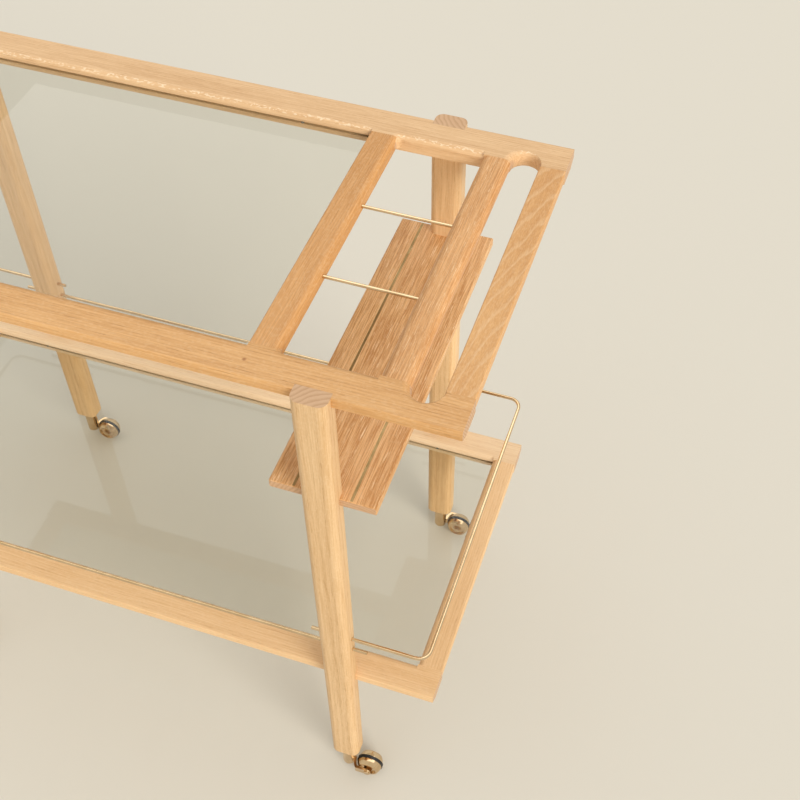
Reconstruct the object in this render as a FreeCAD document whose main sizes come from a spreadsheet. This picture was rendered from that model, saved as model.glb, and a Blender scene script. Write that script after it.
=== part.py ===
import FreeCAD, Part
import os
import Sketcher

# Bar cart of pale oak, glass and brass. Millimetres, +Z up, +X towards the handle end, -Y the front.
# The origin is on the floor under the middle of the cart.

DIMENSIONS = {
    # Top frame
    "top_length": 980,
    "top_width": 450,
    "top_height": 862,
    "rail_thickness": 20,
    "rail_width": 44,
    "right_end_width": 31,
    "left_end_width": 40,
    "edge_round": 8,
    "edge_ease": 1.5,
    "bevel_rise": 7,
    "bevel_run": 12,
    # Handle end
    "hand_slot_width": 35,
    "slot_rim_round": 4,
    "handle_width": 33,
    "handle_round": 8.5,
    "bottle_opening": 108,
    "divider_width": 32,
    "opening_corner": 8,
    "bottle_rod_diameter": 4,
    "bottle_rod_spacing": 120,
    "bottle_rod_seat": 8,
    # Glass and the groove that takes its edges
    "groove_depth": 5,
    "groove_drop": 14,
    "glass_thickness": 5,
    "glass_clearance": 1,
    "glass_play": 0.2,
    "glass_ease": 0.8,
    "glass_bevel_drop": 0.6,
    "glass_bevel_inset": 0.5,
    "pad_diameter": 4,
    "pad_thickness": 1,
    "pad_end_distance": 90,
    # Legs
    "leg_inset": 154,
    "leg_width": 40,
    "leg_depth": 32,
    "leg_standout": 15,
    "leg_lap": 22,
    "leg_round": 10,
    "leg_ease": 2,
    "leg_clearance": 0.05,
    # Bottle shelf
    "shelf_drop": 168,
    "shelf_width": 125,
    "shelf_thickness": 12,
    "shelf_ease": 1.5,
    "inlay_spacing": 67,
    "inlay_width": 3,
    "inlay_depth": 3,
    # Bottom frame
    "bottom_drop": 575,
    "bottom_end_inset": 25.5,
    "bottom_side_inset": 3,
    "bottom_rail_width": 41,
    "bottom_end_width": 34,
    # Brass gallery
    "gallery_rod_diameter": 5,
    "gallery_rise": 100,
    "side_rod_rise": 75,
    "gallery_length_inset": 8,
    "gallery_bend": 16,
    "gallery_stub": 14.25,
    "side_rod_stub": 20.25,
    "rod_clearance": 0.1,
    # Dowels
    "dowel_diameter": 8,
    "dowel_length": 36,
    "dowel_spacing": 12,
    "leg_dowel_length": 22,
    "leg_dowel_spacing": 18,
    "shelf_dowel_diameter": 5,
    "dowel_clearance": 0.1,
    "dowel_end_gap": 0.5,
    # Casters
    "caster_height": 60,
    "wheel_diameter": 39,
    "wheel_trail": 33,
    "tyre_width": 4.6,
    "tyre_proud": 0.6,
    "tyre_seat_diameter": 26,
    "wheel_half_width": 12,
    "dish_diameter": 25,
    "dish_depth": 2.5,
    "boss_diameter": 13,
    "axle_diameter": 5,
    "axle_head_diameter": 9,
    "axle_head_thickness": 1.5,
    "axle_clearance": 0.1,
    "post_diameter": 20,
    "post_floor_gap": 10,
    "post_round": 4,
    "arm_gap": 1.2,
    "arm_thickness": 3.8,
    "arm_height": 12,
    "hub_diameter": 12,
    "hub_gap": 0.3,
    "stem_diameter": 8,
    "stem_length": 32,
    "stem_clearance": 0.1,
    "socket_diameter": 12,
    "socket_end_wall": 2,
    "flange_diameter": 26,
    "flange_thickness": 2,
    "swivel_gap": 0.4,
}

CLOSE = 0.01
RIM_STEP = 15
SIDES = {"front": -1, "back": 1}
ENDS = {"left": -1, "right": 1}

doc = FreeCAD.newDocument("bar_cart")
sheet = doc.addObject("Spreadsheet::Sheet", "Dim")
for row, (alias, size) in enumerate(DIMENSIONS.items(), start=1):
    sheet.set(f"A{row}", alias)
    sheet.set(f"B{row}", str(size))
    sheet.setAlias(f"B{row}", alias)
doc.recompute()

# Places that several pieces share, as expressions of the sheet's cells
TOP = "Dim.top_height"
TOP_MIDDLE = "(Dim.top_height - Dim.rail_thickness / 2)"
HALF_LENGTH = "(Dim.top_length / 2)"
HALF_WIDTH = "(Dim.top_width / 2)"
INNER_Y = f"({HALF_WIDTH} - Dim.rail_width)"
SLOT_RIGHT = f"({HALF_LENGTH} - Dim.right_end_width)"
HANDLE_RIGHT = f"({SLOT_RIGHT} - Dim.hand_slot_width)"
HANDLE_LEFT = f"({HANDLE_RIGHT} - Dim.handle_width)"
DIVIDER_RIGHT = f"({HANDLE_LEFT} - Dim.bottle_opening)"
DIVIDER_LEFT = f"({DIVIDER_RIGHT} - Dim.divider_width)"
GLASS_LEFT = f"(-{HALF_LENGTH} + Dim.left_end_width)"
BOTTOM = "(Dim.top_height - Dim.bottom_drop)"
BOTTOM_MIDDLE = f"({BOTTOM} - Dim.rail_thickness / 2)"
BOTTOM_HALF_LENGTH = f"({HALF_LENGTH} - Dim.bottom_end_inset)"
BOTTOM_HALF_WIDTH = f"({HALF_WIDTH} - Dim.bottom_side_inset)"
BOTTOM_INNER_Y = f"({BOTTOM_HALF_WIDTH} - Dim.bottom_rail_width)"
BOTTOM_INNER_X = f"({BOTTOM_HALF_LENGTH} - Dim.bottom_end_width)"
SHELF = "(Dim.top_height - Dim.shelf_drop)"
SHELF_MIDDLE = f"({SHELF} - Dim.shelf_thickness / 2)"
LEG_X = f"({HALF_LENGTH} - Dim.leg_inset)"
LEG_OUTER_Y = f"({HALF_WIDTH} + Dim.leg_standout)"
LEG_Y = f"({LEG_OUTER_Y} - Dim.leg_depth / 2)"
LAP_Y = f"({LEG_OUTER_Y} - Dim.leg_lap)"
LIP = "(Dim.groove_drop - Dim.pad_thickness - Dim.glass_thickness - Dim.glass_play)"
GALLERY_Z = f"({BOTTOM} + Dim.gallery_rise)"
SIDE_ROD_Z = f"({BOTTOM} + Dim.side_rod_rise)"
WHEEL_RADIUS = "(Dim.wheel_diameter / 2)"
RIM_RADIUS = f"({WHEEL_RADIUS} - Dim.tyre_proud)"
ARM_INNER = f"({WHEEL_RADIUS} + Dim.arm_gap)"
ARM_OUTER = f"({ARM_INNER} + Dim.arm_thickness)"
ARM_SIDE_INNER = "(Dim.wheel_half_width + Dim.arm_gap)"
ARM_SIDE_OUTER = f"({ARM_SIDE_INNER} + Dim.arm_thickness)"
POST_TOP = "(Dim.caster_height - Dim.flange_thickness - Dim.swivel_gap)"
CROSS_MIDDLES = {
    "right_end": f"({HALF_LENGTH} - Dim.right_end_width / 2)",
    "handle": f"({HANDLE_LEFT} + Dim.handle_width / 2)",
    "divider": f"({DIVIDER_LEFT} + Dim.divider_width / 2)",
    "left_end": f"(Dim.left_end_width / 2 - {HALF_LENGTH})",
}


def number(expression):
    return float(sheet.evalExpression(str(expression)))


def new_body(label):
    body = doc.addObject("PartDesign::Body", label)
    body.Label = label
    body.AllowCompound = True
    return body


def sketch_on(body, role, offset="0", across="0"):
    """A sketch on one of the body's own origin planes, moved along that plane's normal and its own X."""
    plane = next(item for item in body.Origin.OriginFeatures if item.Role == role)
    sketch = body.newObject("Sketcher::SketchObject", body.Label + "_sketch")
    sketch.AttachmentSupport = [(plane, "")]
    sketch.MapMode = "FlatFace"
    sketch.setExpression("AttachmentOffset.Base.z", str(offset))
    sketch.setExpression("AttachmentOffset.Base.x", str(across))
    return sketch


def bind(sketch, kind, *places, size):
    """A sketch dimension that follows an expression of the sheet."""
    index = sketch.addConstraint(Sketcher.Constraint(kind, *places, number(size)))
    sketch.setExpression(f"Constraints[{index}]", str(size))


def pin(sketch, item, end, x, y):
    bind(sketch, "DistanceX", -1, 1, item, end, size=x)
    bind(sketch, "DistanceY", -1, 1, item, end, size=y)


def arc_centre(start, finish, radius, left):
    """The centre of an arc from start to finish, on the left or the right of the way between them."""
    half = (finish - start) * 0.5
    height = max(radius ** 2 - half.Length ** 2, 0) ** 0.5
    across = FreeCAD.Vector(-half.y, half.x, 0).normalize() * height
    return start + half + (across if left else -across)


def outline(sketch, corners):
    """A closed outline. A corner is (x, y), or (x, y, radius, left) where an arc goes on to the next one."""
    first = sketch.GeometryCount
    count = len(corners)
    spots = [FreeCAD.Vector(number(corner[0]), number(corner[1]), 0) for corner in corners]
    starts = []
    ends = []
    for index, corner in enumerate(corners):
        start = spots[index]
        finish = spots[(index + 1) % count]
        if len(corner) == 2:
            sketch.addGeometry(Part.LineSegment(start, finish))
            starts.append(1)
            ends.append(2)
            continue
        radius = number(corner[2])
        left = corner[3]
        centre = arc_centre(start, finish, radius, left)
        circle = Part.Circle(centre, FreeCAD.Vector(0, 0, 1), radius)
        way = (start, finish) if left else (finish, start)
        sketch.addGeometry(Part.ArcOfCircle(circle, circle.parameter(way[0]), circle.parameter(way[1])))
        starts.append(1 if left else 2)
        ends.append(2 if left else 1)
    for index in range(count):
        following = (index + 1) % count
        joint = (first + index, ends[index], first + following, starts[following])
        sketch.addConstraint(Sketcher.Constraint("Coincident", *joint))
    for index, corner in enumerate(corners):
        pin(sketch, first + index, starts[index], corner[0], corner[1])
        if len(corner) == 4:
            bind(sketch, "Radius", first + index, size=corner[2])


def rectangle(sketch, left, bottom, right, top):
    outline(sketch, [(left, bottom), (right, bottom), (right, top), (left, top)])


def round_hole(sketch, x, y, diameter):
    spot = FreeCAD.Vector(number(x), number(y), 0)
    item = sketch.addGeometry(Part.Circle(spot, FreeCAD.Vector(0, 0, 1), number(diameter) / 2))
    pin(sketch, item, 3, x, y)
    bind(sketch, "Diameter", item, size=diameter)


def extrude(body, kind, sketch, length, symmetric=False, backwards=False):
    before = 0 if body.Shape.isNull() else body.Shape.Volume
    feature = body.newObject(kind, body.Label + "_solid")
    feature.Profile = sketch
    feature.SideType = "Symmetric" if symmetric else "One side"
    feature.Reversed = backwards
    feature.setExpression("Length", str(length))
    doc.recompute()
    grows = kind == "PartDesign::Pad"
    if (body.Shape.Volume > before) != grows:
        raise RuntimeError(f"{feature.Name} of {body.Label} changes nothing")
    return feature


def pad(body, sketch, length, symmetric=False, backwards=False):
    return extrude(body, "PartDesign::Pad", sketch, length, symmetric, backwards)


def pocket(body, sketch, length, symmetric=False, backwards=False):
    return extrude(body, "PartDesign::Pocket", sketch, length, symmetric, backwards)


def round_edges(body, radius, wanted):
    """Round the edges of the body for which wanted(edge) holds."""
    base = body.Tip
    names = [f"Edge{index}" for index, edge in enumerate(base.Shape.Edges, start=1) if wanted(edge)]
    feature = body.newObject("PartDesign::Fillet", body.Label + "_round")
    feature.Base = (base, names)
    feature.setExpression("Radius", str(radius))
    doc.recompute()
    return feature


def revolve(body, sketch, kind="PartDesign::Revolution"):
    """A full turn of the sketch about its own vertical axis."""
    feature = body.newObject(kind, body.Label + "_solid")
    feature.Profile = sketch
    feature.ReferenceAxis = (sketch, ["V_Axis"])
    feature.Angle = 360
    doc.recompute()
    return feature


def place(body, x, y, z="0", turn=0):
    body.Placement = FreeCAD.Placement(FreeCAD.Vector(), FreeCAD.Rotation(FreeCAD.Vector(0, 0, 1), turn))
    for axis, value in zip("xyz", (x, y, z)):
        body.setExpression(f"Placement.Base.{axis}", str(value))


def is_along(edge, axis):
    """Whether a straight edge runs along an axis: 0 for X, 1 for Y, 2 for Z."""
    if not isinstance(edge.Curve, Part.Line):
        return False
    return abs(abs(edge.Curve.Direction[axis]) - 1) < 1e-6


def leg_notch(body, x, side, height):
    """The seat of a leg, cut down through the outer edge of a board whose upper face is at this height."""
    half = "(Dim.leg_width / 2 + Dim.leg_clearance)"
    inside = f"{side} * {LAP_Y}"
    outside = f"{side} * ({LEG_OUTER_Y} + Dim.leg_ease)"
    sketch = sketch_on(body, "XY_Plane", height)
    rectangle(sketch, f"{x} - {half}", inside, f"{x} + {half}", outside)
    pocket(body, sketch, "Dim.rail_thickness * 2", symmetric=True)


def rounded_stretch(body, side, inner_y, height, start, finish):
    """The rounded upper inner edge of a long rail, from one crossing piece to the next."""
    radius = "Dim.edge_round"
    clear = "Dim.edge_ease"
    face = f"({side} * {inner_y})"
    shoulder = f"({side} * ({inner_y} + {radius}))"
    beyond = f"({side} * ({inner_y} - {clear}))"
    corners = [
        (shoulder, height, radius, side > 0),
        (face, f"{height} - {radius}"),
        (beyond, f"{height} - {radius}"),
        (beyond, f"{height} + {clear}"),
        (shoulder, f"{height} + {clear}"),
    ]
    sketch = sketch_on(body, "YZ_Plane", finish)
    outline(sketch, corners)
    pocket(body, sketch, f"{finish} - {start}")


def glass_groove(body, plane, face, outwards, height, length, offset="0", symmetric=True):
    """The groove under the lip of an inner face, for an edge of the glass."""
    sketch = sketch_on(body, plane, offset)
    mouth = f"({face} - {outwards} * Dim.edge_ease)"
    root = f"({face} + {outwards} * Dim.groove_depth)"
    low, high = (root, mouth) if outwards < 0 else (mouth, root)
    rectangle(sketch, low, f"{height} - Dim.groove_drop", high, f"{height} - {LIP}")
    pocket(body, sketch, length, symmetric)


def dowel_holes(body, plane_y, spots, diameter, depth):
    """Blind holes along Y from a face at plane_y, at the given (x, z) spots."""
    sketch = sketch_on(body, "XZ_Plane", f"-({plane_y})")
    for x, z in spots:
        round_hole(sketch, x, z, f"{diameter} + Dim.dowel_clearance")
    pocket(body, sketch, f"2 * ({depth} + Dim.dowel_end_gap)", symmetric=True)


def pair(x, z, spacing):
    return [(f"{x} - {spacing} / 2", z), (f"{x} + {spacing} / 2", z)]


def frame_dowel_holes(body, plane_y, spots):
    dowel_holes(body, plane_y, spots, "Dim.dowel_diameter", "Dim.dowel_length / 2")


def leg_dowel_holes(body, plane_y, spots, diameter="Dim.dowel_diameter"):
    dowel_holes(body, plane_y, spots, diameter, "Dim.leg_dowel_length / 2")


def frame_dowel_spots(*cross_pieces):
    """The (x, z) spots of the dowels that hold these cross pieces of the top frame to a long rail."""
    middles = [CROSS_MIDDLES[name] for name in cross_pieces]
    return [spot for x in middles for spot in pair(x, TOP_MIDDLE, "Dim.dowel_spacing")]


def bottom_dowel_spots(*ends):
    """The (x, z) spots of the dowels that hold the bottom frame's end rails to a long rail."""
    middles = [f"{end} * ({BOTTOM_HALF_LENGTH} - Dim.bottom_end_width / 2)" for end in ends]
    return [spot for x in middles for spot in pair(x, BOTTOM_MIDDLE, "Dim.dowel_spacing")]


def leg_dowel_spots(height):
    """The (x, z) spots of the dowels between the legs of one side and a board at this height."""
    middles = [f"{end} * {LEG_X}" for end in ENDS.values()]
    return [spot for x in middles for spot in pair(x, height, "Dim.leg_dowel_spacing")]


def rail_section(side, outer_y, inner_y, height):
    """The section of a long rail: an eased upper outer edge and a bevel under its outer face."""
    under = f"({height} - Dim.rail_thickness)"
    return [
        (f"{side} * {inner_y}", height),
        (f"{side} * {inner_y}", under),
        (f"{side} * ({outer_y} - Dim.bevel_run)", under),
        (f"{side} * {outer_y}", f"{under} + Dim.bevel_rise"),
        (f"{side} * {outer_y}", f"{height} - Dim.edge_ease", "Dim.edge_ease", side > 0),
        (f"{side} * ({outer_y} - Dim.edge_ease)", height),
    ]


def long_rail(label, side, half_length, outer_y, inner_y, height, glass_span):
    """A long rail with its glass groove, from end to end of its frame."""
    body = new_body(label)
    sketch = sketch_on(body, "YZ_Plane")
    outline(sketch, rail_section(side, outer_y, inner_y, height))
    pad(body, sketch, f"2 * {half_length}", symmetric=True)
    start, finish = glass_span
    face = f"({side} * {inner_y})"
    glass_groove(body, "YZ_Plane", face, side, height, f"{finish} - {start}", finish, symmetric=False)
    for end in ENDS.values():
        leg_notch(body, f"({end} * {LEG_X})", side, height)
    return body


def corner_web(body, side):
    """The web of a long rail in the bottle opening's corner, where the rail runs into the divider bar."""
    sketch = sketch_on(body, "XY_Plane", TOP)
    tip = f"({side} * ({INNER_Y} - Dim.opening_corner))"
    root = f"({side} * ({INNER_Y} + Dim.edge_ease))"
    low, high = (root, tip) if side < 0 else (tip, root)
    rectangle(sketch, DIVIDER_RIGHT, low, f"{DIVIDER_RIGHT} + Dim.opening_corner", high)
    pad(body, sketch, "Dim.rail_thickness - Dim.slot_rim_round", backwards=True)


def rounded_corner(body, side):
    """The hollow of that corner with its rounded upper edge, turned about an upright axis."""
    axis_x = f"({DIVIDER_RIGHT} + Dim.opening_corner)"
    axis_y = f"({side} * ({INNER_Y} - Dim.opening_corner))"
    sketch = sketch_on(body, "XZ_Plane", f"-{axis_y}", axis_x)
    radius = "Dim.edge_round"
    shoulder = f"-(Dim.opening_corner + {radius})"
    low = f"{TOP} - Dim.rail_thickness - Dim.edge_ease"
    high = f"{TOP} + Dim.edge_ease"
    outline(sketch, [
        ("0", low),
        ("0", high),
        (shoulder, high),
        (shoulder, TOP, radius, False),
        ("-Dim.opening_corner", f"{TOP} - {radius}"),
        ("-Dim.opening_corner", low),
    ])
    revolve(body, sketch, "PartDesign::Groove")


def slot_end(body, side):
    """A round end of the hand slot. Its upper rim is round at the handle and fades to the end rail."""
    middle = f"({SLOT_RIGHT} - Dim.hand_slot_width / 2)"
    middle_y = f"{side} * {INNER_Y}"
    hole = sketch_on(body, "XY_Plane", TOP)
    round_hole(hole, middle, middle_y, "Dim.hand_slot_width")
    pocket(body, hole, "2 * Dim.rail_thickness", symmetric=True)
    under = number(f"{TOP} - Dim.rail_thickness")
    slot_radius = number("Dim.hand_slot_width / 2")

    def is_lower_rim(edge):
        if not isinstance(edge.Curve, Part.Circle):
            return False
        return abs(edge.Curve.Radius - slot_radius) < CLOSE and abs(edge.Curve.Center.z - under) < CLOSE

    round_edges(body, "Dim.slot_rim_round", is_lower_rim)
    rings = []
    for angle in range(0, 91, RIM_STEP):
        handle_side = f"(Dim.handle_round * (1 - cos({angle})))"
        rail_side = f"(Dim.edge_ease * (1 - cos({angle})))"
        ring = sketch_on(body, "XY_Plane", f"{TOP} - Dim.handle_round * (1 - sin({angle}))")
        ring_x = f"{middle} - ({handle_side} - {rail_side}) / 2"
        round_hole(ring, ring_x, middle_y, f"Dim.hand_slot_width + {handle_side} + {rail_side}")
        rings.append(ring)
    rim = body.newObject("PartDesign::SubtractiveLoft", body.Label + "_rim")
    rim.Profile = rings[0]
    rim.Sections = rings[1:]
    doc.recompute()


def top_rail(name, side):
    span = (GLASS_LEFT, DIVIDER_LEFT)
    body = long_rail(f"top_rail_{name}", side, HALF_LENGTH, HALF_WIDTH, INNER_Y, TOP, span)
    corner_web(body, side)
    slot_end(body, side)
    rounded_stretch(body, side, INNER_Y, TOP, *span)
    rounded_stretch(body, side, INNER_Y, TOP, f"({DIVIDER_RIGHT} + Dim.opening_corner)", HANDLE_LEFT)
    rounded_corner(body, side)
    frame_dowel_holes(body, f"{side} * {INNER_Y}", frame_dowel_spots(*CROSS_MIDDLES))
    leg_dowel_holes(body, f"{side} * {LAP_Y}", leg_dowel_spots(TOP_MIDDLE))


def bottom_rail(name, side):
    span = (f"-{BOTTOM_INNER_X}", BOTTOM_INNER_X)
    body = long_rail(
        f"bottom_rail_{name}", side, BOTTOM_HALF_LENGTH, BOTTOM_HALF_WIDTH, BOTTOM_INNER_Y, BOTTOM, span)
    rounded_stretch(body, side, BOTTOM_INNER_Y, BOTTOM, *span)
    frame_dowel_holes(body, f"{side} * {BOTTOM_INNER_Y}", bottom_dowel_spots(*ENDS.values()))
    leg_dowel_holes(body, f"{side} * {LAP_Y}", leg_dowel_spots(BOTTOM_MIDDLE))


def end_section(end, outer_x, inner_x, height, inner_round):
    """The section of an end rail across X: a bevel under its outer face, its inner upper edge rounded."""
    under = f"({height} - Dim.rail_thickness)"
    return [
        (f"{end} * {outer_x}", f"{height} - Dim.edge_ease", "Dim.edge_ease", end > 0),
        (f"{end} * ({outer_x} - Dim.edge_ease)", height),
        (f"{end} * ({inner_x} + {inner_round})", height, inner_round, end > 0),
        (f"{end} * {inner_x}", f"{height} - {inner_round}"),
        (f"{end} * {inner_x}", under),
        (f"{end} * ({outer_x} - Dim.bevel_run)", under),
        (f"{end} * {outer_x}", f"{under} + Dim.bevel_rise"),
    ]


def end_rail(label, end, outer_x, inner_x, half_span, height, inner_round, has_groove, spots):
    body = new_body(label)
    sketch = sketch_on(body, "XZ_Plane")
    outline(sketch, end_section(end, outer_x, inner_x, height, inner_round))
    pad(body, sketch, f"2 * {half_span}", symmetric=True)
    if has_groove:
        glass_groove(body, "XZ_Plane", f"({end} * {inner_x})", end, height, f"2 * {half_span}")
    for side in SIDES.values():
        frame_dowel_holes(body, f"{side} * {half_span}", spots)


def top_end_rails():
    end_rail(
        "top_end_rail_right", 1, HALF_LENGTH, SLOT_RIGHT, INNER_Y, TOP,
        "Dim.edge_ease", False, frame_dowel_spots("right_end"))
    left_inner = f"({HALF_LENGTH} - Dim.left_end_width)"
    end_rail(
        "top_end_rail_left", -1, HALF_LENGTH, left_inner, INNER_Y, TOP,
        "Dim.edge_round", True, frame_dowel_spots("left_end"))


def bottom_end_rails():
    for name, end in ENDS.items():
        end_rail(
            f"bottom_end_rail_{name}", end, BOTTOM_HALF_LENGTH, BOTTOM_INNER_X, BOTTOM_INNER_Y, BOTTOM,
            "Dim.edge_round", True, bottom_dowel_spots(end))


def bottle_rod_holes(body, face_x):
    """Blind seats of the two bottle rods in a face that looks along X."""
    sketch = sketch_on(body, "YZ_Plane", face_x)
    hole = "Dim.bottle_rod_diameter + Dim.rod_clearance"
    for side in SIDES.values():
        round_hole(sketch, f"{side} * Dim.bottle_rod_spacing / 2", TOP_MIDDLE, hole)
    pocket(body, sketch, "2 * (Dim.bottle_rod_seat + Dim.dowel_end_gap)", symmetric=True)


def divider_bar():
    """The bar between the glass and the bottle opening, grooved for the glass on its left."""
    body = new_body("divider_bar")
    under = f"({TOP} - Dim.rail_thickness)"
    sketch = sketch_on(body, "XZ_Plane")
    outline(sketch, [
        (DIVIDER_LEFT, under),
        (f"{DIVIDER_RIGHT} - Dim.slot_rim_round", under, "Dim.slot_rim_round", True),
        (DIVIDER_RIGHT, f"{under} + Dim.slot_rim_round"),
        (DIVIDER_RIGHT, TOP),
        (f"{DIVIDER_LEFT} + Dim.edge_ease", TOP, "Dim.edge_ease", True),
        (DIVIDER_LEFT, f"{TOP} - Dim.edge_ease"),
    ])
    pad(body, sketch, f"2 * {INNER_Y}", symmetric=True)
    glass_groove(body, "XZ_Plane", DIVIDER_LEFT, 1, TOP, f"2 * {INNER_Y}")
    round_edge = sketch_on(body, "XZ_Plane")
    shoulder = f"{DIVIDER_RIGHT} - Dim.edge_round"
    beyond = f"{DIVIDER_RIGHT} + Dim.edge_ease"
    above = f"{TOP} + Dim.edge_ease"
    outline(round_edge, [
        (DIVIDER_RIGHT, f"{TOP} - Dim.edge_round", "Dim.edge_round", True),
        (shoulder, TOP),
        (shoulder, above),
        (beyond, above),
        (beyond, f"{TOP} - Dim.edge_round"),
    ])
    pocket(body, round_edge, f"2 * ({INNER_Y} - Dim.opening_corner)", symmetric=True)
    for side in SIDES.values():
        rounded_corner(body, side)
        frame_dowel_holes(body, f"{side} * {INNER_Y}", frame_dowel_spots("divider"))
    bottle_rod_holes(body, DIVIDER_RIGHT)


def handle_bar():
    """The bar that the hand closes round, rounded on all four edges."""
    body = new_body("handle_bar")
    under = f"({TOP} - Dim.rail_thickness)"
    radius = "Dim.handle_round"
    sketch = sketch_on(body, "XZ_Plane")
    outline(sketch, [
        (f"{HANDLE_LEFT} + {radius}", under),
        (f"{HANDLE_RIGHT} - {radius}", under, radius, True),
        (HANDLE_RIGHT, f"{under} + {radius}"),
        (HANDLE_RIGHT, f"{TOP} - {radius}", radius, True),
        (f"{HANDLE_RIGHT} - {radius}", TOP),
        (f"{HANDLE_LEFT} + {radius}", TOP, radius, True),
        (HANDLE_LEFT, f"{TOP} - {radius}"),
        (HANDLE_LEFT, f"{under} + {radius}", radius, True),
    ])
    pad(body, sketch, f"2 * {INNER_Y}", symmetric=True)
    for side in SIDES.values():
        frame_dowel_holes(body, f"{side} * {INNER_Y}", frame_dowel_spots("handle"))
    bottle_rod_holes(body, HANDLE_LEFT)


def bottle_rods():
    body = new_body("bottle_rods")
    sketch = sketch_on(body, "YZ_Plane", f"{DIVIDER_RIGHT} - Dim.bottle_rod_seat")
    for side in SIDES.values():
        round_hole(sketch, f"{side} * Dim.bottle_rod_spacing / 2", TOP_MIDDLE, "Dim.bottle_rod_diameter")
    pad(body, sketch, "Dim.bottle_opening + 2 * Dim.bottle_rod_seat")


def pane_outline(sketch, left, right, half_width, reach):
    """A rectangle that passes its opening by reach on all sides, its corners cut off clear of the frame."""
    cut = "(2 * Dim.groove_depth - Dim.glass_clearance)"
    pane_left = f"({left} - {reach})"
    pane_right = f"({right} + {reach})"
    half_pane = f"({half_width} + {reach})"
    outline(sketch, [
        (f"{pane_left} + {cut}", f"-{half_pane}"),
        (f"{pane_right} - {cut}", f"-{half_pane}"),
        (pane_right, f"{cut} - {half_pane}"),
        (pane_right, f"{half_pane} - {cut}"),
        (f"{pane_right} - {cut}", half_pane),
        (f"{pane_left} + {cut}", half_pane),
        (pane_left, f"{half_pane} - {cut}"),
        (pane_left, f"{cut} - {half_pane}"),
    ])


def glass_pane(label, left, right, half_width, height):
    """A pane on its pads. A shallow bevel takes its edges under the lips of the grooves."""
    body = new_body(label)
    opening = (left, right, half_width)
    under = f"({height} - Dim.groove_drop + Dim.pad_thickness)"
    edge_thickness = "(Dim.glass_thickness - Dim.glass_bevel_drop)"
    in_groove = "(Dim.groove_depth - Dim.glass_clearance)"
    edge = sketch_on(body, "XY_Plane", under)
    pane_outline(edge, *opening, in_groove)
    pad(body, edge, edge_thickness)
    low = number(under)
    round_edges(body, "Dim.glass_ease", lambda edge: abs(edge.BoundBox.ZMax - low) < CLOSE)
    foot = sketch_on(body, "XY_Plane", f"{under} + {edge_thickness}")
    pane_outline(foot, *opening, in_groove)
    face = sketch_on(body, "XY_Plane", f"{under} + Dim.glass_thickness")
    pane_outline(face, *opening, "(-Dim.glass_bevel_inset)")
    bevel = body.newObject("PartDesign::AdditiveLoft", label + "_bevel")
    bevel.Profile = foot
    bevel.Sections = [face]
    bevel.Ruled = True
    doc.recompute()


def glass_pads(label, left, right, half_width, height):
    """Soft clear discs in the grooves of the two long rails, under the glass."""
    body = new_body(label)
    sketch = sketch_on(body, "XY_Plane", f"{height} - Dim.groove_drop")
    for x in (f"({left} + Dim.pad_end_distance)", f"({right} - Dim.pad_end_distance)"):
        for side in SIDES.values():
            round_hole(sketch, x, f"{side} * ({half_width} + Dim.groove_depth / 2)", "Dim.pad_diameter")
    pad(body, sketch, "Dim.pad_thickness")


def bottle_shelf():
    """The board under the bottle opening, notched round the two right legs and grooved for its inlays."""
    body = new_body("bottle_shelf")
    sketch = sketch_on(body, "XY_Plane", SHELF)
    left = f"({LEG_X} - Dim.shelf_width / 2)"
    right = f"({LEG_X} + Dim.shelf_width / 2)"
    rectangle(sketch, left, f"-{HALF_WIDTH}", right, HALF_WIDTH)
    pad(body, sketch, "Dim.shelf_thickness", backwards=True)
    round_edges(body, "Dim.shelf_ease", lambda edge: True)
    for side in SIDES.values():
        leg_notch(body, LEG_X, side, SHELF)
        leg_dowel_holes(body, f"{side} * {LAP_Y}", [(LEG_X, SHELF_MIDDLE)], "Dim.shelf_dowel_diameter")
    grooves = sketch_on(body, "XY_Plane", SHELF)
    for end in ENDS.values():
        inlay_outline(grooves, end)
    pocket(body, grooves, "Dim.inlay_depth")


def inlay_outline(sketch, end):
    middle = f"({LEG_X} + {end} * Dim.inlay_spacing / 2)"
    reach = f"({HALF_WIDTH} - Dim.shelf_ease)"
    half_strip = "Dim.inlay_width / 2"
    rectangle(sketch, f"{middle} - {half_strip}", f"-{reach}", f"{middle} + {half_strip}", reach)


def shelf_inlays():
    body = new_body("shelf_inlays")
    sketch = sketch_on(body, "XY_Plane", SHELF)
    for end in ENDS.values():
        inlay_outline(sketch, end)
    pad(body, sketch, "Dim.inlay_depth", backwards=True)


def rounded_block(sketch, width, depth, radius):
    """A rectangle with rounded corners about the sketch's origin."""
    side_x = f"({width} / 2)"
    side_y = f"({depth} / 2)"
    flat_x = f"({side_x} - {radius})"
    flat_y = f"({side_y} - {radius})"
    outline(sketch, [
        (f"-{flat_x}", f"-{side_y}"),
        (flat_x, f"-{side_y}", radius, True),
        (side_x, f"-{flat_y}"),
        (side_x, flat_y, radius, True),
        (flat_x, side_y),
        (f"-{flat_x}", side_y, radius, True),
        (f"-{side_x}", flat_y),
        (f"-{side_x}", f"-{flat_y}", radius, True),
    ])


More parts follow.
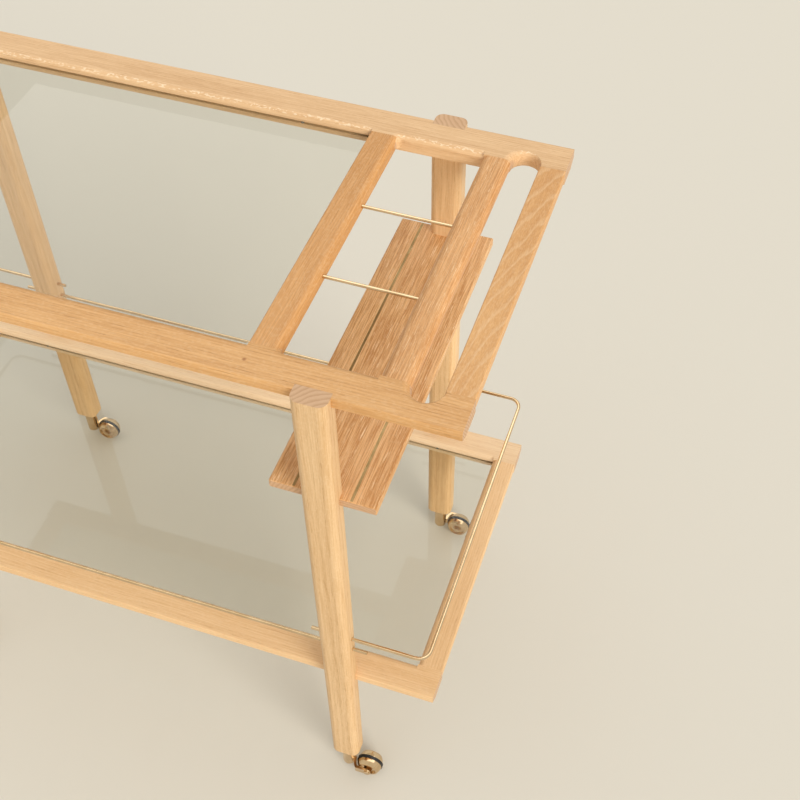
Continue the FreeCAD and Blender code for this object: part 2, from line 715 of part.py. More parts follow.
def leg(name, end, side):
    """A leg about its own axis, its outer face towards local +Y, lapped for each board that it carries."""
    body = new_body(f"leg_{name}")
    sketch = sketch_on(body, "XY_Plane", "Dim.caster_height")
    rounded_block(sketch, "Dim.leg_width", "Dim.leg_depth", "Dim.leg_round")
    pad(body, sketch, f"{TOP} - Dim.caster_height")
    low = number("Dim.caster_height")
    round_edges(body, "Dim.leg_ease", lambda edge: abs(edge.BoundBox.ZMax - low) < CLOSE)
    boards = [(TOP, "Dim.rail_thickness"), (BOTTOM, "Dim.rail_thickness")]
    if end > 0:
        boards.append((SHELF, "Dim.shelf_thickness"))
    lap = f"({LAP_Y} - {LEG_Y})"
    for height, thickness in boards:
        seat = sketch_on(body, "YZ_Plane")
        behind = "(-Dim.leg_depth / 2 - Dim.leg_ease)"
        rectangle(seat, behind, f"{height} - {thickness}", lap, height)
        pocket(body, seat, "2 * Dim.leg_width", symmetric=True)
    spots = pair("0", TOP_MIDDLE, "Dim.leg_dowel_spacing") + pair("0", BOTTOM_MIDDLE, "Dim.leg_dowel_spacing")
    leg_dowel_holes(body, lap, spots)
    if end > 0:
        leg_dowel_holes(body, lap, [("0", SHELF_MIDDLE)], "Dim.shelf_dowel_diameter")
    rods = sketch_on(body, "YZ_Plane")
    for height in (GALLERY_Z, SIDE_ROD_Z):
        round_hole(rods, "0", height, "Dim.gallery_rod_diameter + Dim.rod_clearance")
    pocket(body, rods, "2 * Dim.leg_width", symmetric=True)
    socket = sketch_on(body, "XY_Plane", "Dim.caster_height")
    round_hole(socket, "0", "0", "Dim.socket_diameter + Dim.dowel_clearance")
    depth = "Dim.stem_length + Dim.socket_end_wall + Dim.dowel_end_gap"
    pocket(body, socket, f"2 * ({depth})", symmetric=True)
    place(body, f"{end} * {LEG_X}", f"{side} * {LEG_Y}", turn=0 if side > 0 else 180)


def frame_dowels(label, half_span, spots):
    """The dowels between the cross pieces and the two long rails of a frame."""
    body = new_body(label)
    for side in SIDES.values():
        sketch = sketch_on(body, "XZ_Plane", f"-({side} * {half_span})")
        for x, z in spots:
            round_hole(sketch, x, z, "Dim.dowel_diameter")
        pad(body, sketch, "Dim.dowel_length", symmetric=True)


def leg_dowels():
    body = new_body("leg_dowels")
    for side in SIDES.values():
        sketch = sketch_on(body, "XZ_Plane", f"-({side} * {LAP_Y})")
        for x, z in leg_dowel_spots(TOP_MIDDLE) + leg_dowel_spots(BOTTOM_MIDDLE):
            round_hole(sketch, x, z, "Dim.dowel_diameter")
        round_hole(sketch, LEG_X, SHELF_MIDDLE, "Dim.shelf_dowel_diameter")
        pad(body, sketch, "Dim.leg_dowel_length", symmetric=True)


def gallery_rail(name, end):
    """The U-shaped rod round one end of the bottom frame, with a free stub past each leg."""
    body = new_body(f"gallery_rail_{name}")
    free_x = f"({end} * ({LEG_X} - Dim.leg_width / 2 - Dim.gallery_stub))"
    far_x = f"({end} * ({BOTTOM_HALF_LENGTH} - Dim.gallery_length_inset))"
    bend_x = f"({end} * ({BOTTOM_HALF_LENGTH} - Dim.gallery_length_inset - Dim.gallery_bend))"
    bend_y = f"({LEG_Y} - Dim.gallery_bend)"
    path = sketch_on(body, "XY_Plane", GALLERY_Z)
    open_path(path, [
        (free_x, f"-{LEG_Y}"),
        (bend_x, f"-{LEG_Y}", "Dim.gallery_bend", end > 0),
        (far_x, f"-{bend_y}"),
        (far_x, bend_y, "Dim.gallery_bend", end > 0),
        (bend_x, LEG_Y),
        (free_x, LEG_Y),
    ])
    section = sketch_on(body, "YZ_Plane", free_x)
    round_hole(section, f"-{LEG_Y}", GALLERY_Z, "Dim.gallery_rod_diameter")
    doc.recompute()
    pipe = body.newObject("PartDesign::AdditivePipe", body.Label + "_solid")
    pipe.Profile = section
    pipe.Spine = path
    doc.recompute()


def open_path(sketch, corners):
    """Lines and arcs from the first corner to the last, written as for a closed outline."""
    outline(sketch, corners)
    sketch.delGeometry(sketch.GeometryCount - 1)


def side_rod(name, side):
    body = new_body(f"side_rod_{name}")
    reach = f"({LEG_X} + Dim.leg_width / 2 + Dim.side_rod_stub)"
    sketch = sketch_on(body, "YZ_Plane")
    round_hole(sketch, f"{side} * {LEG_Y}", SIDE_ROD_Z, "Dim.gallery_rod_diameter")
    pad(body, sketch, f"2 * {reach}", symmetric=True)


def caster_socket(name, x, y):
    """The flanged cup in the leg's foot, with the bore that the caster's stem turns in."""
    body = new_body(f"caster_socket_{name}")
    flange = sketch_on(body, "XY_Plane", "Dim.caster_height - Dim.flange_thickness")
    round_hole(flange, "0", "0", "Dim.flange_diameter")
    pad(body, flange, "Dim.flange_thickness")
    cup = sketch_on(body, "XY_Plane", "Dim.caster_height")
    round_hole(cup, "0", "0", "Dim.socket_diameter")
    pad(body, cup, "Dim.stem_length + Dim.socket_end_wall")
    bore = sketch_on(body, "XY_Plane", "Dim.caster_height")
    round_hole(bore, "0", "0", "Dim.stem_diameter + Dim.stem_clearance")
    pocket(body, bore, "2 * (Dim.stem_length - Dim.flange_thickness)", symmetric=True)
    place(body, x, y)


def caster_fork(name, x, y, side):
    """The turning part of a caster: stem, post, and the arm that curves round the wheel's outer side."""
    body = new_body(f"caster_fork_{name}")
    post = sketch_on(body, "XY_Plane", "Dim.post_floor_gap")
    round_hole(post, "0", "0", "Dim.post_diameter")
    pad(body, post, f"{POST_TOP} - Dim.post_floor_gap")
    low = number("Dim.post_floor_gap")
    round_edges(body, "Dim.post_round", lambda edge: abs(edge.BoundBox.ZMax - low) < CLOSE)
    stem = sketch_on(body, "XY_Plane", POST_TOP)
    round_hole(stem, "0", "0", "Dim.stem_diameter")
    pad(body, stem, "Dim.stem_length - Dim.flange_thickness - Dim.swivel_gap")
    arm = sketch_on(body, "XY_Plane", WHEEL_RADIUS)
    inner_start = f"(Dim.wheel_trail - {ARM_INNER})"
    outer_start = f"(Dim.wheel_trail - {ARM_OUTER})"
    inner_bend = f"(Dim.wheel_trail - sqrt({ARM_INNER} ^ 2 - {ARM_SIDE_INNER} ^ 2))"
    outer_bend = f"(Dim.wheel_trail - sqrt({ARM_OUTER} ^ 2 - {ARM_SIDE_OUTER} ^ 2))"
    outline(arm, [
        (outer_start, "0", ARM_OUTER, side < 0),
        (outer_bend, f"{side} * {ARM_SIDE_OUTER}"),
        ("Dim.wheel_trail", f"{side} * {ARM_SIDE_OUTER}"),
        ("Dim.wheel_trail", f"{side} * {ARM_SIDE_INNER}"),
        (inner_bend, f"{side} * {ARM_SIDE_INNER}", ARM_INNER, side > 0),
        (inner_start, "0"),
    ])
    pad(body, arm, "Dim.arm_height", symmetric=True)
    outer_plane = f"-({side} * {ARM_SIDE_OUTER})"
    hub = sketch_on(body, "XZ_Plane", outer_plane)
    round_hole(hub, "Dim.wheel_trail", WHEEL_RADIUS, "Dim.hub_diameter")
    pad(body, hub, f"{ARM_SIDE_OUTER} - Dim.wheel_half_width - Dim.hub_gap", backwards=side < 0)
    bore = sketch_on(body, "XZ_Plane", outer_plane)
    round_hole(bore, "Dim.wheel_trail", WHEEL_RADIUS, "Dim.axle_diameter + Dim.axle_clearance")
    pocket(body, bore, f"2 * ({ARM_SIDE_OUTER} - Dim.wheel_half_width)", symmetric=True)
    place(body, x, y)


def caster_axle(name, x, y, side):
    """The axle pin, with a head outside the arm and another outside the wheel."""
    body = new_body(f"caster_axle_{name}")
    outer_plane = f"-({side} * {ARM_SIDE_OUTER})"
    shank = sketch_on(body, "XZ_Plane", outer_plane)
    round_hole(shank, "Dim.wheel_trail", WHEEL_RADIUS, "Dim.axle_diameter")
    pad(body, shank, f"{ARM_SIDE_OUTER} + Dim.wheel_half_width + Dim.hub_gap", backwards=side < 0)
    outer_head = sketch_on(body, "XZ_Plane", outer_plane)
    round_hole(outer_head, "Dim.wheel_trail", WHEEL_RADIUS, "Dim.axle_head_diameter")
    pad(body, outer_head, "Dim.axle_head_thickness", backwards=side > 0)
    inner_head = sketch_on(body, "XZ_Plane", f"{side} * (Dim.wheel_half_width + Dim.hub_gap)")
    round_hole(inner_head, "Dim.wheel_trail", WHEEL_RADIUS, "Dim.axle_head_diameter")
    pad(body, inner_head, "Dim.axle_head_thickness", backwards=side < 0)
    place(body, x, y)


def wheel_rims(name, x, y):
    """The two domed halves of a wheel, which meet inside the tyre. Each has a dished face round its boss."""
    body = new_body(f"wheel_rims_{name}")
    bore = "((Dim.axle_diameter + Dim.axle_clearance) / 2)"
    seat = "(Dim.tyre_seat_diameter / 2)"
    half_tyre = "(Dim.tyre_width / 2)"
    crown = f"sqrt({RIM_RADIUS} ^ 2 - {half_tyre} ^ 2)"
    flat = f"sqrt({RIM_RADIUS} ^ 2 - Dim.wheel_half_width ^ 2)"
    for side in SIDES.values():
        face = f"{side} * Dim.wheel_half_width"
        dish = f"{side} * (Dim.wheel_half_width - Dim.dish_depth)"
        sketch = sketch_on(body, "XY_Plane")
        outline(sketch, [
            (bore, "0"),
            (seat, "0"),
            (seat, f"{side} * {half_tyre}"),
            (crown, f"{side} * {half_tyre}", RIM_RADIUS, side > 0),
            (flat, face),
            ("Dim.dish_diameter / 2", face),
            ("Dim.dish_diameter / 2", dish),
            ("Dim.boss_diameter / 2", dish),
            ("Dim.boss_diameter / 2", face),
            (bore, face),
        ])
        revolve(body, sketch)
    place(body, f"{x} + Dim.wheel_trail", y, WHEEL_RADIUS)


def wheel_tyre(name, x, y):
    body = new_body(f"tyre_{name}")
    sketch = sketch_on(body, "XY_Plane")
    half_tyre = "(Dim.tyre_width / 2)"
    rectangle(sketch, "Dim.tyre_seat_diameter / 2", f"-{half_tyre}", WHEEL_RADIUS, half_tyre)
    revolve(body, sketch)
    place(body, f"{x} + Dim.wheel_trail", y, WHEEL_RADIUS)


def corners_of_cart():
    """Each corner's name, with its sign along X and along Y."""
    return [(f"{side_name}_{end_name}", end, side)
            for side_name, side in SIDES.items() for end_name, end in ENDS.items()]


for side_name, side_sign in SIDES.items():
    top_rail(side_name, side_sign)
    bottom_rail(side_name, side_sign)
    side_rod(side_name, side_sign)
top_end_rails()
bottom_end_rails()
divider_bar()
handle_bar()
bottle_rods()
glass_pane("top_glass", GLASS_LEFT, DIVIDER_LEFT, INNER_Y, TOP)
glass_pads("top_glass_pads", GLASS_LEFT, DIVIDER_LEFT, INNER_Y, TOP)
glass_pane("bottom_glass", f"-{BOTTOM_INNER_X}", BOTTOM_INNER_X, BOTTOM_INNER_Y, BOTTOM)
glass_pads("bottom_glass_pads", f"-{BOTTOM_INNER_X}", BOTTOM_INNER_X, BOTTOM_INNER_Y, BOTTOM)
bottle_shelf()
shelf_inlays()
frame_dowels("top_frame_dowels", INNER_Y, frame_dowel_spots(*CROSS_MIDDLES))
frame_dowels("bottom_frame_dowels", BOTTOM_INNER_Y, bottom_dowel_spots(*ENDS.values()))
leg_dowels()
for end_name, end_sign in ENDS.items():
    gallery_rail(end_name, end_sign)
for corner_name, end_sign, side_sign in corners_of_cart():
    leg(corner_name, end_sign, side_sign)
    caster_x = f"{end_sign} * {LEG_X}"
    caster_y = f"{side_sign} * {LEG_Y}"
    for make in (caster_socket, wheel_rims, wheel_tyre):
        make(corner_name, caster_x, caster_y)
    for make in (caster_fork, caster_axle):
        make(corner_name, caster_x, caster_y, side_sign)
doc.recompute()

failed = [item.Name for item in doc.Objects if {"Invalid", "Error"} & set(item.State)]
bodies = [item for item in doc.Objects if item.isDerivedFrom("PartDesign::Body")]
failed += [body.Label for body in bodies if body.Shape.isNull() or not body.Shape.isValid()]
if failed:
    raise RuntimeError("failed: " + ", ".join(failed))

os.makedirs("parts", exist_ok=True)
for body in bodies:
    body.Shape.exportStep(f"parts/{body.Label}.step")
print(len(bodies), "nodes,", sum(len(body.Shape.Solids) for body in bodies), "solids")
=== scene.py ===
import math
import bmesh
import bpy
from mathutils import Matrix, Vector

# Bar cart of pale oak, clear glass and polished brass, on four swivel casters.
# Metres, +Z up, +X towards the handle end, -Y the front, the floor at z = 0.

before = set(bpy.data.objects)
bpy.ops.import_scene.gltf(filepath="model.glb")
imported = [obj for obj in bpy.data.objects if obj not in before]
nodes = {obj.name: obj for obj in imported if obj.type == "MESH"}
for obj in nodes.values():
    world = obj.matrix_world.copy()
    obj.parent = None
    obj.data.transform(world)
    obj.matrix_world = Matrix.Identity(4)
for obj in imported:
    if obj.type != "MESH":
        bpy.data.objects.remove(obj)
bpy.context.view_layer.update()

RIGHT_ANGLE = math.pi / 2

# Each oak has its pale wood, its honey-coloured wood and the colour of its open pores.
RAIL_OAK = ((0.81, 0.470, 0.198), (0.565, 0.275, 0.089), (0.41, 0.185, 0.058))
BACK_RAIL_OAK = ((0.86, 0.575, 0.315), (0.64, 0.375, 0.175), (0.48, 0.245, 0.10))
END_RAIL_OAK = ((0.79, 0.450, 0.185), (0.57, 0.268, 0.086), (0.92, 0.64, 0.36))
DIVIDER_OAK = ((0.73, 0.385, 0.145), (0.47, 0.205, 0.055), (0.90, 0.61, 0.33))
HANDLE_OAK = ((0.84, 0.465, 0.198), (0.53, 0.245, 0.081), (0.93, 0.63, 0.35))
FRONT_LEG_OAK = ((0.81, 0.550, 0.295), (0.60, 0.355, 0.152), (0.43, 0.22, 0.082))
BACK_LEG_OAK = ((0.89, 0.600, 0.320), (0.68, 0.400, 0.172), (0.50, 0.26, 0.098))
BOTTOM_OAK = ((0.90, 0.610, 0.330), (0.73, 0.435, 0.195), (0.55, 0.29, 0.12))
LOW_BACK_OAK = ((0.92, 0.690, 0.440), (0.79, 0.530, 0.290), (0.60, 0.35, 0.165))
SHELF_OAK = ((0.90, 0.560, 0.268), (0.56, 0.262, 0.083), (0.98, 0.72, 0.44))
DOWEL_BEECH = ((0.66, 0.43, 0.25), (0.52, 0.31, 0.16), (0.40, 0.22, 0.10))
END_GRAIN = (0.62, 0.390, 0.230)
END_GRAIN_RINGS = (0.51, 0.295, 0.160)
RAY_FLECK = (1.0, 0.82, 0.57)
KNOT = (0.33, 0.120, 0.040)

BRIGHT_BRASS = (0.74, 0.560, 0.355)
WORN_BRASS = (0.63, 0.455, 0.265)
# Both inlay colours are painted dark. They stand in for the dim surroundings that the inlay reflects, and
# the worn one adds its tarnish, darker still.
INLAY_BRASS_PAINTED_DARK = (0.330, 0.230, 0.105)
WORN_INLAY_PAINTED_DARK = (0.230, 0.150, 0.062)

GLASS_TINT = (0.82, 0.818, 0.775)
GLASS_SHEEN = (0.45, 0.45, 0.45)
GLASS_SHADE = (0.81, 0.815, 0.785)
PAD_PLASTIC = (0.82, 0.84, 0.80)
CLEAN_RUBBER = (0.012, 0.012, 0.013)
DUSTY_RUBBER = (0.045, 0.043, 0.040)

PALE_FLOOR = (0.765, 0.723, 0.626)
DAYLIGHT = (1.0, 0.975, 0.93)
SKY_LIGHT = (0.71, 0.703, 0.689)
SEEN_BACKGROUND = (0.775, 0.725, 0.615)


def rgba(colour):
    return (*colour, 1.0)


def add(tree, kind, feeds, **settings):
    """A shader node with its settings, and a value or another node's output on each named socket."""
    node = tree.nodes.new(kind)
    for name, value in settings.items():
        setattr(node, name, value)
    for socket, value in feeds.items():
        if isinstance(value, bpy.types.NodeSocket):
            tree.links.new(value, node.inputs[socket])
        else:
            node.inputs[socket].default_value = value
    return node


def calc(tree, operation, first, second=0.0):
    return add(tree, "ShaderNodeMath", {0: first, 1: second}, operation=operation).outputs[0]


def moved(tree, operation, first, second):
    return add(tree, "ShaderNodeVectorMath", {0: first, 1: second}, operation=operation).outputs[0]


def weighed(tree, *shares):
    """The sum of values, each times its weight."""
    total = None
    for value, weight in shares:
        part = calc(tree, "MULTIPLY", value, weight)
        total = part if total is None else calc(tree, "ADD", total, part)
    return total


def noise(tree, place, scale, detail=2.0, rough=0.5):
    """Noise drawn out along each axis by its own scale, per metre."""
    return add(tree, "ShaderNodeTexNoise", {
        "Vector": moved(tree, "MULTIPLY", place, scale), "Scale": 1.0,
        "Detail": detail, "Roughness": rough})


def ramp(tree, value, low, high, start=0.0, finish=1.0):
    """A smooth change from start to finish while the value goes from low to high."""
    return add(tree, "ShaderNodeMapRange", {
        "Value": value, "From Min": low, "From Max": high, "To Min": start, "To Max": finish,
    }, interpolation_type="SMOOTHSTEP").outputs["Result"]


def mix(tree, share, first, second):
    return add(tree, "ShaderNodeMix", {0: share, 6: first, 7: second}, data_type="RGBA").outputs[2]


def new_group(name, inputs, outputs):
    group = bpy.data.node_groups.new(name, "ShaderNodeTree")
    kinds = {"vector": "NodeSocketVector", "colour": "NodeSocketColor", "value": "NodeSocketFloat"}
    for label, kind in inputs:
        group.interface.new_socket(label, in_out="INPUT", socket_type=kinds[kind])
    for label, kind in outputs:
        group.interface.new_socket(label, in_out="OUTPUT", socket_type=kinds[kind])
    return group, group.nodes.new("NodeGroupInput").outputs, group.nodes.new("NodeGroupOutput")


def oak_grain_group():
    """Wood with its grain along X: rings round the tree's middle, fibres, pores, rays and end grain."""
    group, given, result = new_group(
        "oak grain",
        [("Place", "vector"), ("End", "value"), ("Knot", "value"), ("Ring width", "value"),
         ("Lines", "value"), ("Figure", "value"), ("Pores", "value"), ("Rays", "value"),
         ("Pale", "colour"), ("Honey", "colour"), ("Pore", "colour")],
        [("Color", "colour"), ("Roughness", "value"), ("Height", "value")])
    place = given["Place"]
    sway = noise(group, place, (2.6, 14.0, 14.0)).outputs["Color"]
    drift = moved(group, "SUBTRACT", sway, (0.5, 0.5, 0.5))
    wavy = moved(group, "ADD", place, moved(group, "MULTIPLY", drift, (0.0, 0.012, 0.012)))
    across = moved(group, "MULTIPLY", wavy, (0.0, 1.0, 1.0))
    from_middle = add(group, "ShaderNodeVectorMath", {0: across}, operation="LENGTH").outputs["Value"]
    uneven = noise(group, wavy, (1.2, 45.0, 45.0)).outputs["Fac"]
    rings = calc(group, "ADD", calc(group, "DIVIDE", from_middle, given["Ring width"]),
                 calc(group, "MULTIPLY", uneven, 1.6))
    year = calc(group, "FRACT", rings)
    early = calc(group, "MULTIPLY", ramp(group, year, 0.0, 0.12), ramp(group, year, 0.16, 0.70, 1.0, 0.0))
    ring_line = calc(
        group, "MULTIPLY", ramp(group, year, 0.0, 0.10), ramp(group, year, 0.12, 0.42, 1.0, 0.0))
    fibres = ramp(group, noise(group, wavy, (20.0, 920.0, 920.0), 3.0, 0.6).outputs["Fac"], 0.40, 0.60)
    streaks = ramp(group, noise(group, wavy, (5.0, 190.0, 190.0), 2.0).outputs["Fac"], 0.34, 0.66)
    patches = ramp(group, noise(group, place, (2.4, 22.0, 22.0), 2.0).outputs["Fac"], 0.30, 0.72)
    dashes = ramp(group, noise(group, wavy, (48.0, 900.0, 900.0), 3.0, 0.6).outputs["Fac"], 0.55, 0.65)
    crowd = calc(group, "ADD", calc(group, "MULTIPLY", early, 0.7), calc(group, "MULTIPLY", streaks, 0.5))
    pores = calc(group, "MULTIPLY", dashes, crowd)
    worms = ramp(group, noise(group, wavy, (230.0, 480.0, 480.0), 1.0).outputs["Fac"], 0.52, 0.62)
    depth = weighed(group, (early, 0.16), (fibres, given["Lines"]), (streaks, 0.17), (patches, 0.31))
    wood = mix(group, depth, given["Pale"], given["Honey"])
    wood = mix(group, calc(group, "MULTIPLY", ring_line, given["Figure"]), wood, given["Pore"])
    wood = mix(group, calc(group, "MULTIPLY", worms, given["Rays"]), wood, rgba(RAY_FLECK))
    wood = mix(group, calc(group, "MULTIPLY", pores, given["Pores"]), wood, given["Pore"])
    cut_end = mix(group, early, rgba(END_GRAIN), rgba(END_GRAIN_RINGS))
    wood = mix(group, calc(group, "MULTIPLY", given["End"], 0.8), wood, cut_end)
    wood = mix(group, given["Knot"], wood, rgba(KNOT))
    group.links.new(wood, result.inputs["Color"])
    gloss = weighed(group, (early, 0.06), (pores, 0.14), (patches, 0.06))
    group.links.new(calc(group, "ADD", gloss, 0.38), result.inputs["Roughness"])
    relief = calc(group, "SUBTRACT", calc(group, "MULTIPLY", fibres, 0.3), pores)
    group.links.new(relief, result.inputs["Height"])
    return group


def handling_group():
    """Faint smears and fine lines that hands and polishing leave on a bright surface."""
    group, given, result = new_group(
        "handling marks", [("Place", "vector"), ("Clean", "value"), ("Marked", "value")],
        [("Roughness", "value"), ("Tarnish", "value")])
    smears = noise(group, given["Place"], (45.0, 45.0, 45.0), 3.0, 0.6).outputs["Fac"]
    smears = ramp(group, smears, 0.35, 0.75)
    lines = noise(group, given["Place"], (900.0, 900.0, 900.0), 1.0).outputs["Fac"]
    share = weighed(group, (smears, 0.7), (lines, 0.3))
    rough = add(group, "ShaderNodeMapRange", {
        "Value": share, "To Min": given["Clean"], "To Max": given["Marked"]}).outputs["Result"]
    group.links.new(rough, result.inputs["Roughness"])
    group.links.new(smears, result.inputs["Tarnish"])
    return group


oak_grain = oak_grain_group()
handling_marks = handling_group()


def new_material(name):
    material = bpy.data.materials.new(name)
    material.use_nodes = True
    tree = material.node_tree
    return material, tree, tree.nodes["Principled BSDF"], tree.nodes.new("ShaderNodeTexCoord").outputs


def set_group(tree, group, feeds):
    return add(tree, "ShaderNodeGroup", feeds, node_tree=group).outputs


GRAIN_TURNS = {"X": (0.0, 0.0, 0.0), "Y": (0.0, 0.0, -RIGHT_ANGLE), "Z": (0.0, RIGHT_ANGLE, 0.0)}


def oak(name, wood, run, pith, slant=0.0, tilt=0.0, ring_width=0.0030, lines=0.34, figure=0.0, pores=0.5,
        ray_way=None, knot=None):
    """Oak for one piece. Its grain runs along an axis, and pith moves the tree's middle off the piece."""
    material, tree, surface, spot = new_material(name)
    turn = Vector(GRAIN_TURNS[run])
    turn.z += slant
    turn.x += tilt
    place = add(tree, "ShaderNodeMapping", {
        "Vector": spot["Object"], "Location": pith, "Rotation": turn}).outputs[0]
    facing = add(tree, "ShaderNodeSeparateXYZ", {0: spot["Normal"]}).outputs[run]
    end = ramp(tree, calc(tree, "ABSOLUTE", facing), 0.80, 0.95)
    pale, honey, pore = wood
    feeds = {
        "Place": place, "End": end, "Knot": 0.0, "Ring width": ring_width, "Lines": lines, "Figure": figure,
        "Pores": pores, "Rays": 0.08, "Pale": rgba(pale), "Honey": rgba(honey), "Pore": rgba(pore)}
    if ray_way:
        towards = add(tree, "ShaderNodeVectorMath", {
            0: spot["Normal"], 1: ray_way}, operation="DOT_PRODUCT")
        feeds["Rays"] = ramp(tree, towards.outputs["Value"], 0.93, 0.985, 0.06, 0.60)
    if knot:
        off = add(tree, "ShaderNodeVectorMath", {0: spot["Object"], 1: knot}, operation="DISTANCE")
        feeds["Knot"] = ramp(tree, off.outputs["Value"], 0.0006, 0.0032, 0.75, 0.0)
    grain = set_group(tree, oak_grain, feeds)
    tree.links.new(grain["Color"], surface.inputs["Base Color"])
    tree.links.new(grain["Roughness"], surface.inputs["Roughness"])
    surface.inputs["Specular IOR Level"].default_value = 0.25
    bump = add(tree, "ShaderNodeBump", {"Height": grain["Height"], "Strength": 0.20, "Distance": 0.0003})
    tree.links.new(bump.outputs[0], surface.inputs["Normal"])
    return material


def bright_metal(name, bright, worn, clean, marked):
    material, tree, surface, spot = new_material(name)
    marks = set_group(tree, handling_marks, {"Place": spot["Object"], "Clean": clean, "Marked": marked})
    tree.links.new(mix(tree, marks["Tarnish"], rgba(bright), rgba(worn)), surface.inputs["Base Color"])
    tree.links.new(marks["Roughness"], surface.inputs["Roughness"])
    surface.inputs["Metallic"].default_value = 1.0
    return material


def clear_glass():
    """Float glass with a faint tint. Lamps shine through it, so that what lies below isn't in the dark."""
    material, tree, surface, spot = new_material("clear glass")
    marks = set_group(tree, handling_marks, {"Place": spot["Object"], "Clean": 0.0, "Marked": 0.008})
    tree.links.new(marks["Roughness"], surface.inputs["Roughness"])
    surface.inputs["Base Color"].default_value = rgba(GLASS_TINT)
    surface.inputs["Transmission Weight"].default_value = 1.0
    surface.inputs["IOR"].default_value = 1.5
    surface.inputs["Specular Tint"].default_value = rgba(GLASS_SHEEN)
    let_by = add(tree, "ShaderNodeBsdfTransparent", {"Color": rgba(GLASS_SHADE)})
    ways = tree.nodes.new("ShaderNodeLightPath").outputs
    share = add(tree, "ShaderNodeMixShader", {
        0: ways["Is Shadow Ray"], 1: surface.outputs[0], 2: let_by.outputs[0]})
    tree.links.new(share.outputs[0], tree.nodes["Material Output"].inputs["Surface"])
    return material


def soft_pad():
    material, tree, surface, spot = new_material("soft clear pad")
    marks = set_group(tree, handling_marks, {"Place": spot["Object"], "Clean": 0.25, "Marked": 0.45})
    tree.links.new(marks["Roughness"], surface.inputs["Roughness"])
    surface.inputs["Base Color"].default_value = rgba(PAD_PLASTIC)
    surface.inputs["Alpha"].default_value = 0.30
    return material


def black_rubber():
    material, tree, surface, spot = new_material("black rubber")
    grit = noise(tree, spot["Object"], (1400.0, 1400.0, 1400.0)).outputs["Fac"]
    dust = ramp(tree, noise(tree, spot["Object"], (120.0, 120.0, 120.0), 3.0).outputs["Fac"], 0.45, 0.8)
    colour = mix(tree, dust, rgba(CLEAN_RUBBER), rgba(DUSTY_RUBBER))
    tree.links.new(colour, surface.inputs["Base Color"])
    tree.links.new(ramp(tree, grit, 0.2, 0.8, 0.48, 0.66), surface.inputs["Roughness"])
    bump = add(tree, "ShaderNodeBump", {"Height": grit, "Strength": 0.15, "Distance": 0.0002})
    tree.links.new(bump.outputs[0], surface.inputs["Normal"])
    return material


def dress(piece, material):
    piece.data.materials.clear()
    piece.data.materials.append(material)


NEAR_KNOT = (0.256, -0.204, 0.862)
BACK_ROUND = (0.0, -0.5, 0.866)
LEG_RINGS = 0.0055

oak_pieces = {
    "top_rail_front": oak("front rail oak", RAIL_OAK, "X", (0.10, 0.36, -0.75), knot=NEAR_KNOT),
    "top_rail_back": oak(
        "back rail oak", BACK_RAIL_OAK, "X", (0.70, -0.38, -0.80), slant=0.01, ray_way=BACK_ROUND),
    "top_end_rail_left": oak("left end oak", RAIL_OAK, "Y", (1.30, 0.55, -0.78)),
    "top_end_rail_right": oak(
        "right end oak", END_RAIL_OAK, "Y", (1.90, 0.498, -0.805), tilt=0.15, ring_width=0.0060,
        figure=0.34, pores=0.25),
    "divider_bar": oak("divider oak", DIVIDER_OAK, "Y", (2.50, 0.38, -0.80), slant=0.02, pores=0.30),
    "handle_bar": oak("handle oak", HANDLE_OAK, "Y", (3.10, 0.50, -0.82), lines=0.55, pores=1.0),
    "bottle_shelf": oak(
        "shelf oak", SHELF_OAK, "Y", (8.50, 0.37, -0.64), ring_width=0.0042, lines=0.74, pores=0.85),
    "bottom_rail_front": oak("low front oak", BOTTOM_OAK, "X", (3.70, 0.30, -0.20), slant=0.01, pores=0.4),
    "bottom_rail_back": oak("low back oak", LOW_BACK_OAK, "X", (4.30, -0.31, -0.22), pores=0.4),
    "bottom_end_rail_left": oak(
        "low left oak", BOTTOM_OAK, "Y", (4.90, -0.36, -0.22), slant=0.02, pores=0.4),
    "bottom_end_rail_right": oak(
        "low right oak", BOTTOM_OAK, "Y", (5.50, 0.56, -0.20), slant=-0.02, pores=0.4),
    "leg_front_left": oak(
        "front left leg oak", FRONT_LEG_OAK, "Z", (6.10, 0.30, -0.41), ring_width=LEG_RINGS),
    "leg_front_right": oak(
        "front right leg oak", FRONT_LEG_OAK, "Z", (6.70, 0.29, 0.39), ring_width=LEG_RINGS),
    "leg_back_left": oak(
        "back left leg oak", BACK_LEG_OAK, "Z", (7.30, -0.30, -0.40), ring_width=LEG_RINGS),
    "leg_back_right": oak(
        "back right leg oak", BACK_LEG_OAK, "Z", (7.90, -0.29, 0.41), ring_width=LEG_RINGS),
}
beech = oak("dowel beech", DOWEL_BEECH, "Y", (9.10, 0.20, -0.40), ring_width=0.0022, pores=0.3)
brass = bright_metal("polished brass", BRIGHT_BRASS, WORN_BRASS, 0.09, 0.18)
inlay_brass = bright_metal("brushed inlay brass", INLAY_BRASS_PAINTED_DARK, WORN_INLAY_PAINTED_DARK, 0.30, 0.45)
glass = clear_glass()
pad_plastic = soft_pad()
rubber = black_rubber()

for name, piece in nodes.items():
    if name in oak_pieces:
        dress(piece, oak_pieces[name])
    elif name.endswith("_glass"):
        dress(piece, glass)
    elif name.endswith("_pads"):
        dress(piece, pad_plastic)
    elif name.endswith("dowels"):
        dress(piece, beech)
    elif name.startswith("tyre"):
        dress(piece, rubber)
    elif name == "shelf_inlays":
        dress(piece, inlay_brass)
    else:
        dress(piece, brass)


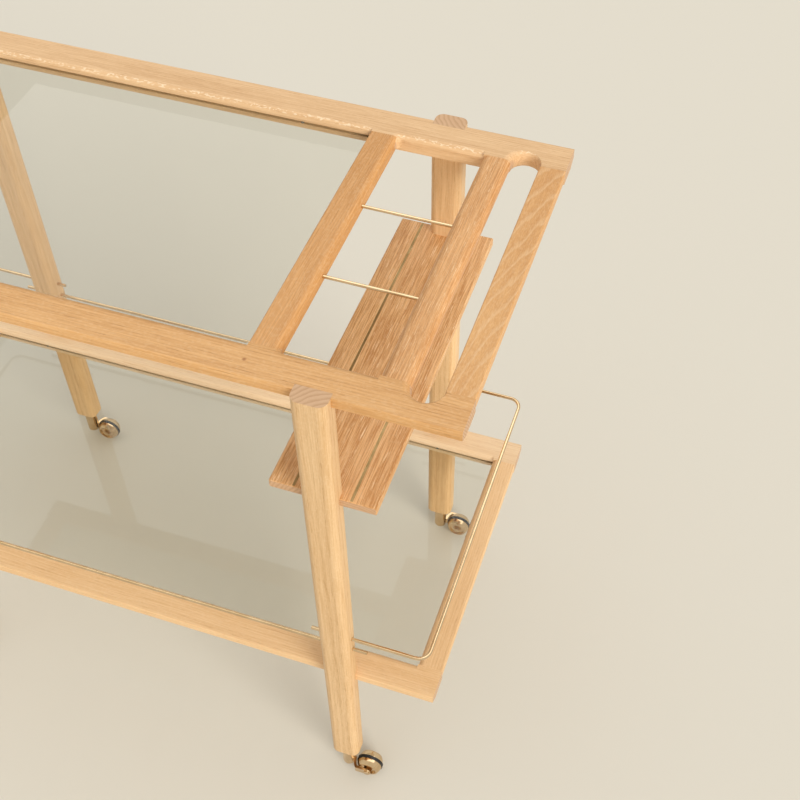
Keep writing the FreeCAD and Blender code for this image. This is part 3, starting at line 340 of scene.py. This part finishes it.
def floor():
    mesh = bpy.data.meshes.new("floor")
    shape = bmesh.new()
    bmesh.ops.create_grid(shape, x_segments=1, y_segments=1, size=40.0)
    shape.to_mesh(mesh)
    shape.free()
    piece = bpy.data.objects.new("floor", mesh)
    bpy.context.scene.collection.objects.link(piece)
    material, _, surface, _ = new_material("pale floor")
    surface.inputs["Base Color"].default_value = rgba(PALE_FLOOR)
    surface.inputs["Roughness"].default_value = 0.9
    surface.inputs["Specular IOR Level"].default_value = 0.0
    mesh.materials.append(material)


def window_light():
    """Soft daylight from the right and the front, a little above the cart."""
    light = bpy.data.lights.new("window", "SUN")
    light.energy = 2.1
    light.angle = math.radians(32.0)
    light.color = DAYLIGHT
    lamp = bpy.data.objects.new("window", light)
    lamp.rotation_euler = Vector((-0.72, 0.52, -0.46)).to_track_quat("-Z", "Y").to_euler()
    lamp.visible_glossy = False
    lamp.visible_transmission = False
    bpy.context.scene.collection.objects.link(lamp)


def high_softbox():
    """A wide soft panel high above the cart, which only shows in polished surfaces."""
    light = bpy.data.lights.new("softbox", "AREA")
    light.shape = "RECTANGLE"
    light.size = 7.0
    light.size_y = 5.0
    light.energy = 130.0
    lamp = bpy.data.objects.new("softbox", light)
    lamp.location = (0.5, 1.1, 3.8)
    lamp.visible_camera = False
    lamp.visible_diffuse = False
    lamp.visible_transmission = False
    bpy.context.scene.collection.objects.link(lamp)


def pale_surroundings():
    world = bpy.data.worlds.new("studio")
    bpy.context.scene.world = world
    world.use_nodes = True
    tree = world.node_tree
    ways = tree.nodes.new("ShaderNodeLightPath").outputs
    seen = calc(tree, "MAXIMUM", ways["Is Camera Ray"], ways["Is Glossy Ray"])
    seen = calc(tree, "MAXIMUM", seen, ways["Is Transmission Ray"])
    colour = mix(tree, seen, rgba(SKY_LIGHT), rgba(SEEN_BACKGROUND))
    tree.links.new(colour, tree.nodes["Background"].inputs["Color"])


def photo_camera():
    """The photograph's own view: its place, its three angles, its lens and the offset of its middle."""
    lens = bpy.data.cameras.new("camera")
    lens.sensor_width = 36.0
    lens.lens = 53.948
    lens.shift_x = -0.0380
    lens.shift_y = -0.0239
    camera = bpy.data.objects.new("camera", lens)
    camera.location = (0.67307, -0.90557, 1.75123)
    camera.rotation_euler = (math.radians(40.8459), math.radians(-0.4054), math.radians(18.0606))
    bpy.context.scene.collection.objects.link(camera)
    bpy.context.scene.camera = camera


floor()
window_light()
high_softbox()
pale_surroundings()
photo_camera()
bpy.context.scene.view_settings.view_transform = "Standard"
